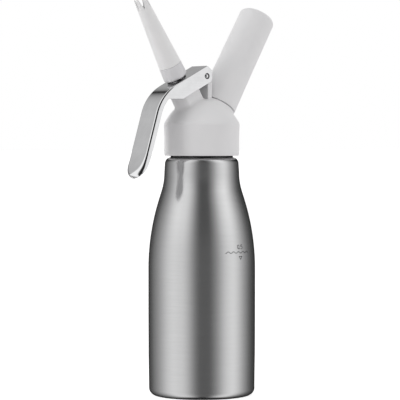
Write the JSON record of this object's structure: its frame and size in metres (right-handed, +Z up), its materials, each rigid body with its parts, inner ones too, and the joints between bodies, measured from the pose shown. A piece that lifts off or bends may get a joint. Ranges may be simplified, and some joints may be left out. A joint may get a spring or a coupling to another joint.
{
  "type": "whipped cream dispenser",
  "caption": "Squeeze-lever cream whipper: round steel pressure bottle, screw-on white head with tilted decorating tip, hinged steel lever and screw-off gas charger holder.",
  "frame": {"origin": "centre of the bottle's flat base, on the surface that it stands on", "axes": "+Z up along the bottle's axis; XZ is the plane of symmetry; tip and lever towards -X, charger holder towards +X"},
  "size_m": [0.1292, 0.08, 0.2976],
  "materials": {
    "bottle_steel": "stainless steel, finely brushed round the bottle's axis",
    "polished_steel": "smooth bright stainless steel",
    "charger_steel": "plated steel, satin",
    "head_plastic": "satin greyish white plastic",
    "tip_plastic": "satin white plastic",
    "adaptor_plastic": "satin white plastic, a little bluer than the tip",
    "guide_plastic": "plain grey plastic",
    "red_rubber": "smooth silicone rubber",
    "clear_rubber": "smooth translucent silicone rubber, taken as opaque"
  },
  "bodies": {
    "bottle": {"bottle": "bottle_steel"},
    "gasket": {"head_gasket": "red_rubber"},
    "head": {"head": "head_plastic", "hinge_pin": "polished_steel", "spindle_guide": "guide_plastic", "guide_seal": "clear_rubber", "return_spring": "polished_steel", "charger_socket": "polished_steel", "socket_washer": "clear_rubber", "piercer": "polished_steel", "charger_seal": "clear_rubber", "non_return_valve": "red_rubber"},
    "lever": {"lever": "polished_steel"},
    "spindle": {"valve_spindle": "polished_steel", "valve_seal": "clear_rubber", "push_collar": "polished_steel", "tip_adaptor": "adaptor_plastic", "stem_washer": "clear_rubber"},
    "tip_ring": {"tip_seal": "clear_rubber"},
    "tip": {"decorating_tip": "tip_plastic"},
    "charger": {"gas_charger": "charger_steel"},
    "holder": {"charger_holder": "head_plastic"}
  },
  "joints": [
    {"name": "head_lift", "type": "slide", "parent": "bottle", "child": "gasket", "axis": [0, 0, 1], "range_m": [0, 0.0121]},
    {"name": "head_unscrew", "type": "hinge", "parent": "gasket", "child": "head", "pos_m": [0, 0, 0.193], "axis": [0, 0, 1], "range_deg": [0, 1080]},
    {"name": "lever_squeeze", "type": "hinge", "parent": "head", "child": "lever", "pos_m": [-0.00275, 0, 0.23863], "axis": [0, -1, 0], "range_deg": [0, 9], "stiffness_Nm_per_rad": 4, "springref_deg": -5.73},
    {"name": "valve_travel", "type": "slide", "parent": "head", "child": "spindle", "axis": [0.4894, 0, -0.8721], "range_m": [0, 0.003], "deforming": ["return_spring"]},
    {"name": "tip_lift", "type": "slide", "parent": "spindle", "child": "tip_ring", "axis": [-0.4894, 0, 0.8721], "range_m": [0, 0.0063]},
    {"name": "tip_unscrew", "type": "hinge", "parent": "tip_ring", "child": "tip", "pos_m": [0, 0, 0.19483], "axis": [-0.4894, 0, 0.8721], "range_deg": [0, 900]},
    {"name": "charger_lift", "type": "slide", "parent": "head", "child": "charger", "axis": [0.4955, 0, 0.8686], "range_m": [0, 0.0127]},
    {"name": "holder_unscrew", "type": "hinge", "parent": "charger", "child": "holder", "pos_m": [0, 0, 0.19253], "axis": [0.4955, 0, 0.8686], "range_deg": [0, 1512]}
  ],
  "couplings": [
    {"joint": "head_lift", "follows": "head_unscrew", "m_per_rad": 0.00063662},
    {"joint": "valve_travel", "follows": "lever_squeeze", "m_per_rad": 0.019037},
    {"joint": "tip_lift", "follows": "tip_unscrew", "m_per_rad": 0.00039789},
    {"joint": "charger_lift", "follows": "holder_unscrew", "m_per_rad": 0.00047746}
  ]
}
